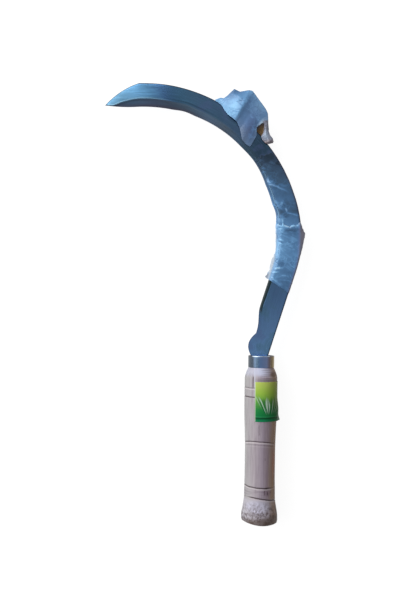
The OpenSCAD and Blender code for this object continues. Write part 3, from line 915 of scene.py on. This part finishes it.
def even(points, count):
    """The same closed line with its points evenly spaced."""
    lengths = [0.0]
    for a, b in zip(points, points[1:] + points[:1]):
        lengths.append(lengths[-1] + math.dist(a, b))
    made, k = [], 0
    for i in range(count):
        at = lengths[-1] * i / count
        while lengths[k + 1] < at:
            k += 1
        share = (at - lengths[k]) / max(1e-9, lengths[k + 1] - lengths[k])
        a, b = points[k], points[(k + 1) % len(points)]
        made.append((a[0] + (b[0] - a[0]) * share, a[1] + (b[1] - a[1]) * share))
    return made


def film_section(s, gap, edge_slack, spine_slack):
    """One turn of film round the blade at s, slack where it is told: (in from the edge, height)."""
    width, thick = width_at(s), thickness_at(s)
    bevel, ground = bevel_at(s, width)
    high, low = thick / 2, -thick / 2
    lip = high + (low + edge_t - high) * ground
    corners = [
        (width / 2, low - gap), (0.3 * mm, low - gap), (-gap - edge_slack, (low + lip) / 2),
        (0.3 * mm, lip + gap), (bevel, high + gap), (width - 0.5 * mm, high + gap),
        (width + gap + spine_slack, 0), (width - 0.5 * mm, low - gap)]
    for _ in range(2):
        # Each corner is cut off, and then its two new ones
        cut = []
        for (x0, y0), (x1, y1) in zip(corners, corners[1:] + corners[:1]):
            long = max(1e-9, math.hypot(x1 - x0, y1 - y0))
            share = min(0.25, 0.35 * mm / long)
            cut.append((x0 + (x1 - x0) * share, y0 + (y1 - y0) * share))
            cut.append((x1 + (x0 - x1) * share, y1 + (y0 - y1) * share))
        corners = cut
    return even(corners, around)


def fold_at(s, a, folds):
    """How much painted highlight or painted shade the folds near a point give it, which also sets how
    far they raise the film. Each is sharp on one side and fades on the other: its two ends (s, a), how
    far it bows, its half width, and its shade."""
    shade = 0
    for s0, a0, s1, a1, bow, half, strength in folds:
        run_s, run_a = s1 - s0, a1 - a0
        long = math.hypot(run_s, run_a)
        share = ((s / mm - s0) * run_s + (a / mm - a0) * run_a) / long ** 2
        if not 0 < share < 1:
            continue
        off = ((s / mm - s0) * run_a - (a / mm - a0) * run_s) / long - bow * 4 * share * (1 - share)
        off += 0.5 * half * noise.noise(Vector((s, a, 0)) / (4 * mm))
        off = off / half * (0.45 if off * run_a > 0 else 1.3)
        shade += strength * max(0, 1 - off ** 2) * math.sin(math.pi * share ** 0.7) ** 0.8
    return shade


def wound_film(name, start, length, steps, tones, folds, edge_glow, hem_glow, edge_slack, spine_slack,
               gap, shift, browning):
    """A sleeve of film, open at both ends, wound round the blade from start. Each point is told how
    light the film looks there, with painted light along the cutting edge and painted shade past the
    spine, how bright its painted highlights are on the folds, the top hem and the outer edge, and how
    much tinted painted shade it has where it stands off past the spine and at the nub."""
    rings, values = [], {"tone": [], "pale": [], "brown_shade": []}
    for i in range(steps + 1):
        share = i / steps
        s = start + length * share
        width = width_at(s)
        off_edge, off_spine = profile(edge_slack, share), profile(spine_slack, share)
        ring = []
        for a, z in film_section(s, gap(share), off_edge * mm, off_spine * mm):
            at = s + shift(share, a / width)
            back, heading = spine_pose(at)
            here = back + towards_angle(heading - 90) * (a - width)
            fold = fold_at(at, a, folds) if z > 0 else 0
            ring.append((here.x, here.y, z + fold_h * clamp(fold)))
            glow = edge_glow * clamp(1 - a / glow_w) ** 1.2
            glow -= 0.06 * clamp((a - width / 2) / (width / 2))
            past = clamp((a - width) / mm / (2.6 + min(2, off_spine)) + 0.82)
            values["tone"].append(profile(tones, at / mm) + glow + 0.7 * fold - 0.5 * (1 - browning) * past)
            patchy = clamp(0.4 + 3.4 * noise.noise(Vector((a, s * 0.6, 5)) / (2.6 * mm)))
            hem = hem_glow * clamp((share - 0.96) / 0.03) * patchy
            fin = clamp(off_edge / 2 - 0.1) * clamp((0.9 * mm - a) / (1.8 * mm))
            nub = browning * clamp(-a / mm - 1) * clamp((0.13 - share) / 0.04)
            outer = 0.5 * clamp((0.6 * mm - a) / (1.6 * mm)) + fin
            values["pale"].append(clamp(fold - 0.3) + outer * (1 - 0.6 * nub) + hem)
            values["brown_shade"].append(browning * past + nub * 1.25)
        rings.append(ring)
    return piece_of(name, net_mesh(name, rings, values, columns_meet=True))


# The crumples of the film: soft folds all over, and thin raised lines along the contours of a noise
crinkle = Maker("crinkle", {
    "Depth": 0.1 * mm, "Across": 160.0, "Line depth": 0.15 * mm, "Lines": 55.0, "Seed": 3.0})
crinkle_in = Socket(crinkle, crinkle.inputs.outputs["Geometry"])
px, py, pz = crinkle.apart(crinkle.add("GeometryNodeInputPosition"))
moved = crinkle.together(px, py, pz * 0.5 + crinkle.size("Seed") * 1.7)
soft_folds = crinkle.cloud(moved, crinkle.size("Across"), 3.0, 0.55) - 0.5
stretched = crinkle.together(px * 0.6 + py * 1.3, px * 0.3, crinkle.size("Seed"))
contour = crinkle.cloud(stretched, crinkle.size("Lines"), 3.0, 0.6)
broken = crinkle.cloud(moved, 90, 2.0).rise(0.48, 0.62)
line = (1 - abs(contour - 0.5) * 26).rise(0, 1) * broken
push = soft_folds * crinkle.size("Depth") + line * crinkle.size("Line depth")
nx, ny, nz = crinkle.apart(crinkle.add("GeometryNodeInputNormal"))
raised = crinkle.add("GeometryNodeSetPosition", {
    "Geometry": crinkle.keep(crinkle_in, "line", line),
    "Offset": crinkle.together(nx * push, ny * push, nz * push)})

# The film's colour runs from dark to light with its tone, with painted highlights on the crease lines
# where it is dark and painted shade on them where it is light. Over it come mauve painted shade, the
# warm and dark painted shade of the hood's opening, painted glints here and there, and the painted
# highlights of the folds, hems and edges.
film = Finish("film", Roughness=0.22, IOR=1.5, Specular_IOR_Level=0.4)
spot = film.place()
tone, film_highlight, brown_shade, line = [film.own(name) for name in ("tone", "pale", "brown_shade", "line")]
cloudy = film.cloud(spot, 130, 4.0, 0.65)
sparkle = film.cloud(spot, 900, 2.0, 0.6)
fx, fy, fz = film.apart(spot)
bent = film.together(fx + (cloudy - 0.5) * 9 * mm, fy + (cloudy - 0.5) * 7 * mm, fz * 0.4)
to_crease = film.add(
    "ShaderNodeTexVoronoi", {"Vector": bent, "Scale": 190.0}, "Distance", feature="DISTANCE_TO_EDGE")
crease = to_crease.rise(0.11, 0.01) * film.cloud(spot, 75, 2.0).rise(0.46, 0.6)
lit_crease = (line + crease) * (0.14 - 0.3 * tone.rise(0.72, 0.86))
film.base = film.ramp(
    tone + (cloudy - 0.5) * 0.22 + lit_crease, (0.0, 30, 50, 68), (0.15, 48, 70, 96), (0.3, 60, 90, 120),
    (0.45, 68, 106, 146), (0.6, 84, 128, 174), (0.75, 102, 152, 200), (0.88, 124, 178, 226),
    (1.0, 146, 204, 248))
browned = film.mix(brown_shade.rise(0.4, 0.7), colour(122, 124, 174), colour(132, 124, 134))
film.wash(brown_shade * 0.85, browned)
opening_shade = film.mix(tone.rise(0.45, 0.25), colour(184, 144, 88), colour(74, 66, 56))
film.wash(brown_shade.rise(1, 2), opening_shade)
painted_glint = sparkle.rise(0.62, 0.75) * cloudy.rise(0.5, 0.65)
film.wash(film.least(film_highlight + painted_glint * 0.12, 1) * 0.85, 190, 212, 234)
film.wash(film_highlight.rise(1, 2), 248, 250, 252)
film.set("Base Color", film.base)
film.set("Roughness", 0.2 + cloudy * 0.2)
film.relief(sparkle * 0.3 + cloudy * 0.5 + crease * 0.4, 0.14 * mm, 0.5)
crinkle.finish(raised, film.material)


def crumple(sheet, thickness=film_t, **sizes):
    """Runs the crinkle tree on a sheet, with sizes of its own where they are given, and gives it
    the film's thickness, closed at its hems."""
    crinkle.run(sheet)
    by_name = {item.name: item.identifier for item in crinkle.tree.interface.items_tree}
    for label, value in sizes.items():
        sheet.modifiers[-1][by_name[label.replace("_", " ")]] = value
    thicken(sheet, thickness)


# How light the turns look along the blade, with the hood's painted shadow towards their top, and
# their folds as fold_at takes them
high_tones = [(128, 0.62), (136, 0.66), (141, 0.6), (146, 0.52), (152, 0.4), (158, 0.42), (165, 0.47),
              (176, 0.39), (186, 0.29), (194, 0.25), (200, 0.22), (206, 0.16), (211, 0.04), (222, 0.0)]
high_folds = [
    (195, 4.4, 186.5, 3.6, 0, 1.1, 0.34), (191, 2, 185, 6.5, 0.3, 0.9, 0.34),
    (188.4, 1, 169.5, 19.5, 0.5, 0.8, 0.38), (203.6, 1.5, 199.6, 4.4, 0, 0.7, 0.4),
    (208, 2, 203.5, 6, 0, 0.8, 0.35), (204, 17, 198, 22, 0, 1.3, -0.35), (187, 1, 181.5, 10, 0.3, 0.7, 0.2),
    (199, 6, 192, 16, 0.4, 0.6, 0.16), (180, 3, 171, 9, 0, 3, 0.1), (168, 3, 159, 4.6, 0.2, 0.9, 0.28),
    (165, 12, 156.6, 4.4, 0.3, 0.9, 0.22), (164.5, 1.6, 157.5, 1.2, 0, 1.2, 0.3),
    (156.2, 10.2, 150.4, 11.2, 0, 0.7, 0.55), (150.6, 10.6, 144.4, 23, 0.3, 0.7, 0.4),
    (158, 1.5, 163, 13, 0.4, 0.7, 0.2), (146, 5.2, 139, 6.2, 0.2, 0.9, 0.5),
    (147, 2.6, 140, 3.4, 0, 0.8, 0.3), (151.5, 3, 152, 9, 0, 2, -0.2), (147.5, 7, 146, 14, 0, 1.8, -0.2),
    (149, 15, 147.5, 24, 0, 2, -0.16), (160, 9, 157, 22, 0, 2.4, -0.1), (180, 9, 170, 22, 0, 3, 0.06),
    (187, 0, 174, 0, 0, 1.2, 0.2), (195, 2, 185, 9, 0, 2.2, 0.14), (170, 4, 154, 6, 0, 3.5, 0.06)]


def high_shift(share, across):
    """How far the turns' top hem hangs back on the spine's side."""
    frayed = noise.noise(Vector((across * 6, 0, 7)))
    return (-6 * across + 3 * frayed) * mm * clamp((share - 0.85) / 0.15)


def high_gap(share):
    """How far the turns stand off the blade: less at their top hem."""
    return film_gap * (1 - 0.6 * clamp((share - 0.9) / 0.1))


upper = wound_film(
    "film_upper_turns", film_start + low_film_len - hidden_lap, high_film_len + hidden_lap - film_lap,
    steps=240, tones=high_tones, folds=high_folds, edge_glow=0.1, hem_glow=0,
    edge_slack=[(0, 0.1), (1, 0.1)], spine_slack=[(0, 0.5), (0.3, 0.5), (0.5, 0.1), (1, 0.1)],
    gap=high_gap, shift=high_shift, browning=0.25)
crumple(upper)
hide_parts("film_upper")
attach(upper, "root")


# The lower turns of film. They are slacker: they stand off the cutting edge in a pale fin, pinch up
# over the spine near the top, and lap over the upper turns in a crushed, bunched hem.
hem_line = [
    (0, -0.5), (0.07, -1), (0.14, -2.6), (0.2, -4), (0.24, -2.6), (0.27, 0.4), (0.31, -3),
    (0.38, -4), (0.48, -5.2), (0.55, -6.2), (0.61, -4.6), (0.7, -4.4), (0.78, -5.4), (0.85, -4.6),
    (0.92, -3), (1, -2.4)]


def low_shift(share, across):
    """How far the turns run up the blade, above all their slanting lower hem and crushed top hem."""
    slant = 7 * mm * (1 - clamp(across)) * max(0, 1 - 3 * share)
    crushed = profile(hem_line, clamp(across)) * mm * ease(0, 1, (share - 0.84) / 0.16)
    return slant + crushed + 0.8 * mm * noise.noise(Vector((across * 5, share * 9, 2)))


def low_gap(share):
    """How far the turns stand off the blade: further where they lap over the upper ones."""
    lapped = clamp((share - 0.8) / 0.06) * (1 - 0.8 * clamp((share - 0.95) / 0.05))
    return film_gap * 2 + 0.45 * mm * lapped


low_tones = [(62, 0.46), (74, 0.52), (80, 0.54), (86, 0.56), (92, 0.63), (100, 0.67), (112, 0.66),
             (120, 0.62), (127, 0.57), (131, 0.55), (134, 0.68), (137, 0.76), (142, 0.7)]
low_folds = [
    (142, 5, 135, 7, 0.2, 0.9, 0.5), (133.4, 1.5, 132.6, 6.5, 0, 0.8, 0.45),
    (139, 1, 134.5, 6, 0.3, 0.9, 0.4), (136.6, 8, 134.2, 14, -0.4, 0.9, 0.4),
    (134, 13, 136.5, 23, 0.4, 1, 0.5), (136, 18, 134.4, 22.5, 0, 0.8, 0.4),
    (131.5, 6, 130.6, 23, -0.3, 1.7, -0.24), (128, 3, 127, 13, 0, 0.8, 0.2),
    (126, 4, 121, 14, 0.5, 0.8, 0.16), (118.6, 1.2, 116, 7.4, 0, 1, -0.34),
    (116.4, 1.2, 114.6, 7, 0, 0.8, 0.3), (120.6, 2, 118.6, 8, 0, 0.8, 0.2),
    (84.4, 2.4, 88, 9.8, 0.2, 0.85, 0.75), (80.2, 0.2, 83.2, 8.4, 0.1, 0.7, 0.5),
    (80.4, 10.6, 81.5, 19, 0.3, 0.6, 0.3), (94, 1.5, 88.5, 9.8, 0, 3.2, -0.34),
    (76.5, -0.5, 72.5, 9, 0, 0.8, 0.4), (73.5, 6, 70, 15, 0, 0.8, 0.2), (76, 6, 84, 16, 0, 0.8, 0.14),
    (122, 1.5, 113, 9, 0.3, 0.9, 0.16), (112, 3, 104, 9, 0, 0.9, 0.14), (104, 8, 99, 18, 0.5, 0.9, 0.1),
    (118, 0.6, 92, 0.6, 0, 2, 0.2), (92, 13, 88.5, 22, 0, 0.6, 0.16), (90.4, 12, 87, 21, 0, 0.6, 0.14),
    (94, 15, 91, 23, 0, 0.6, 0.14)]
off_edge = [(0, 2.4), (0.037, 4.6), (0.09, 3.4), (0.167, 2.7), (0.278, 3.4), (0.38, 3.2), (0.45, 1.9),
            (0.52, 0.8), (0.61, 0.7), (0.72, 1.3), (0.81, 1.1), (0.92, 0.5), (1, 0.2)]
off_spine = [(0, 0.4), (0.42, 0.6), (0.5, 0.9), (0.57, 1.5), (0.65, 2.2), (0.73, 2.9), (0.77, 3.8),
             (0.815, 4.2), (0.85, 2.4), (0.9, 1.1), (1, 0.3)]
lower = wound_film(
    "film_lower_turns", film_start, low_film_len, steps=210, tones=low_tones, folds=low_folds,
    edge_glow=0.27, hem_glow=0.6, edge_slack=off_edge, spine_slack=off_spine, gap=low_gap, shift=low_shift,
    browning=1)
crumple(lower, Depth=0.25 * mm, Line_depth=0.2 * mm, Seed=8.0)
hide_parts("film_lower")
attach(lower, "root")


# The loose end of the film. The last stretch has come away from the blade and stands over its spine
# like a crushed hood, creased down the middle, with a twisted strip that runs back to the turns.
end_root = film_start + low_film_len - film_lap + high_film_len
end_low = heel_t / 2 + 0.8 * mm
flap_rise = 12.5 * mm

# The hood as columns of places from the nose side to the strip. Each column runs from the hem on the
# blade over the outline, its fifth place, and down the back. A place: how far along the spine from
# the turns, how far out past it, its share of the rise, and its tone, which holds the film's own
# lightness together with painted light and shade of the facets.
tent = [
    [(72.4, -.5, 0, .9), (72.4, -.2, 0, .9), (72.5, .1, .01, .9), (72.5, .4, .01, .9), (72.4, .8, 0, .8),
     (72, .2, 0, .5), (71.5, -1, 0, .5)],
    [(67.2, -.9, 0, .9), (67.3, .6, .05, 1), (67.7, 2, .07, .96), (68.2, 3.2, .07, .9),
     (69, 4.4, .04, .8), (68, 2, .02, .5), (67, -2, 0, .5)],
    [(63.3, -1.9, .02, .95), (63.7, .3, .13, .96), (64.4, 2.3, .19, .92), (65, 4, .19, .88),
     (66, 5.5, .08, .8), (64, 2, .03, .5), (63, -3, 0, .5)],
    [(59.5, -4.1, .04, .95), (60.2, 0, .26, .92), (61.3, 4, .37, .88), (62.6, 7.4, .37, .7),
     (64.3, 9.3, .12, .56), (62, 4, .03, .5), (60, -4, 0, .5)],
    [(54.3, -6, .08, 1), (55.6, 0, .4, .96), (57.3, 6, .54, .92), (59.4, 12, .52, .62),
     (61.9, 18.4, .2, .4), (58, 5, .03, .5), (55, -5, 0, .5)],
    [(50.3, -6.4, .15, 1), (51.3, .5, .58, 1.12), (52.8, 7.5, .76, .98), (54.3, 13.5, .72, .82),
     (56, 18.6, .4, .54), (53, 5, .03, .5), (51, -6, 0, .5)],
    [(44.6, -6.7, .25, .8), (45.5, -.1, .7, .88), (46.1, 5.5, .88, .82), (47.4, 13, .88, .84),
     (50, 24.8, .48, .78), (47, 6, .03, .4), (45, -7, 0, .4)],
    [(41.6, -6.9, .15, .5), (42.2, .5, .58, .6), (43.4, 6.5, .78, .58), (44.6, 15, .82, .54),
     (47.2, 26.2, .44, .92), (44, 6, .03, .4), (42, -7, 0, .4)],
    [(35.2, -9.9, .06, .36), (35.6, .5, .42, .68), (36, 9, .58, .72), (36, 16.5, .58, .92),
     (35.6, 22.8, .35, 1), (35, 5, .03, .4), (35, -7, 0, .4)],
    [(24.6, -16.7, .02, .32), (26.8, -5, .28, .3), (28.4, 4, .42, .52), (29, 13, .42, .84),
     (28.2, 21.2, .25, .94), (26, 4, .03, .3), (26, -6, 0, .3)],
    [(17.4, -16.8, 0, .38), (21.4, -6.5, .2, .48), (24.8, 3, .32, .5), (25.6, 11.5, .32, .78),
     (24.6, 19.6, .18, .8), (20, 4, .03, .44), (18, -5, 0, .28)],
    [(13.2, -15.4, 0, .3), (17.2, -3.6, .1, .5), (23.2, 2, .25, .9), (22.4, 8, .28, 1.1),
     (19.8, 14.8, .12, .7), (13, 7, .02, .44), (11, -3, 0, .25)]]
strip = [
    [(23, 9.4, .26, .6), (22.4, 12.4, .28, .55), (21, 15.7, .1, .4)],
    [(20.3, 10, .23, .6), (19.4, 12, .26, .5), (17.9, 13.2, .08, .4)],
    [(17.6, 7, .2, .6), (16.6, 9, .24, .55), (15, 10.6, .08, .4)],
    [(14.9, 3.2, .16, .6), (13.8, 6, .22, .9), (12, 8.2, .06, .6)],
    [(13.2, -.8, .08, .6), (11.5, 3.6, .26, 1.1), (8.8, 6.9, .08, .4)],
    [(10.2, -2, .06, .5), (8, 3, .2, .8), (5, 6.9, .06, .3)],
    [(6, -1.6, .04, .4), (4.2, 2.6, .24, .3), (2, 5.8, .08, .1)],
    [(3.2, .2, .03, .2), (2.2, 2.4, .06, .2), (1.3, 4.2, 0, 0)]]


def end_spot(spot, back):
    """A place of the loose end on the sickle."""
    along, out, share, _ = spot
    here, heading = spine_pose(end_root + along * mm)
    here = here + towards_angle(heading - 90) * out * mm
    return Vector((here.x, here.y, (-1 if back else 1) * (end_low + share * flap_rise)))


def net_piece(name, net, over, brown_shade, pale, softening):
    """A piece over a net of places, each cell cut fine, with all but its outline softened."""
    rows, columns = range(len(net)), range(len(net[0]))
    values = {"tone": [q[3] for row in net for q in row],
              "brown_shade": [brown_shade(i, j) for i in rows for j in columns],
              "pale": [pale(i, j) for i in rows for j in columns]}
    spots = [[end_spot(q, j > over) for j, q in enumerate(row)] for row in net]
    piece = placed(name, net_mesh(name, spots, values))
    softened = piece.vertex_groups.new(name="softened")
    for i in rows:
        for j in columns:
            held = j in (0, over, columns[-1]) or i in (0, rows[-1])
            softened.add([i * len(columns) + j], 0.0 if held else 1.0, "REPLACE")
    cells = piece.modifiers.new("cells", "SUBSURF")
    cells.subdivision_type = "SIMPLE"
    cells.levels = cells.render_levels = 4
    softer = piece.modifiers.new("softer", "SMOOTH")
    softer.factor = 0.5
    softer.iterations = softening
    softer.vertex_group = "softened"
    return piece


def hood_brown_shade(i, j):
    """The painted shade of the opening behind the last columns, and mauve painted shade round it."""
    if i > 9 and j > 4:
        return 2
    return (0.05, 0.12, 0.28, 0.3, 0.22, 0.2)[max(0, i - 6)] * (1 if j else 0.5)


def hood_highlights(i, j):
    """A painted highlight on a crinkle over the opening, and painted light along the hems."""
    if (i, j) == (11, 3):
        return 1.3
    return 0.12 if j == 0 or i == 11 else 0


# Painted highlights on the strip, brightest along its middle row at its nub
def tail_highlights(i, j):
    return (0.15, 0.15, 0.15, 0.5, 0.7, 0.5, 0, 0)[i] * (1 if j == 1 else 0.3)


# The strip's painted shade, deeper in its rows near the turns
def tail_brown_shade(i, j):
    return 0.95 if i < 6 else 1.25


hood = net_piece("film_hood", tent, over=4, brown_shade=hood_brown_shade, pale=hood_highlights, softening=36)
tail = net_piece("film_tail", strip, over=2, brown_shade=tail_brown_shade, pale=tail_highlights, softening=4)
end_t = film_t * 1.5
crumple(hood, end_t, Depth=0.35 * mm, Across=120.0, Line_depth=0.2 * mm, Lines=60.0, Seed=5.0)
crumple(tail, end_t, Depth=1.6 * mm, Across=260.0, Line_depth=0.4 * mm, Seed=9.0)
for piece in (hood, tail):
    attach(piece, "root")
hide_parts("film_end")
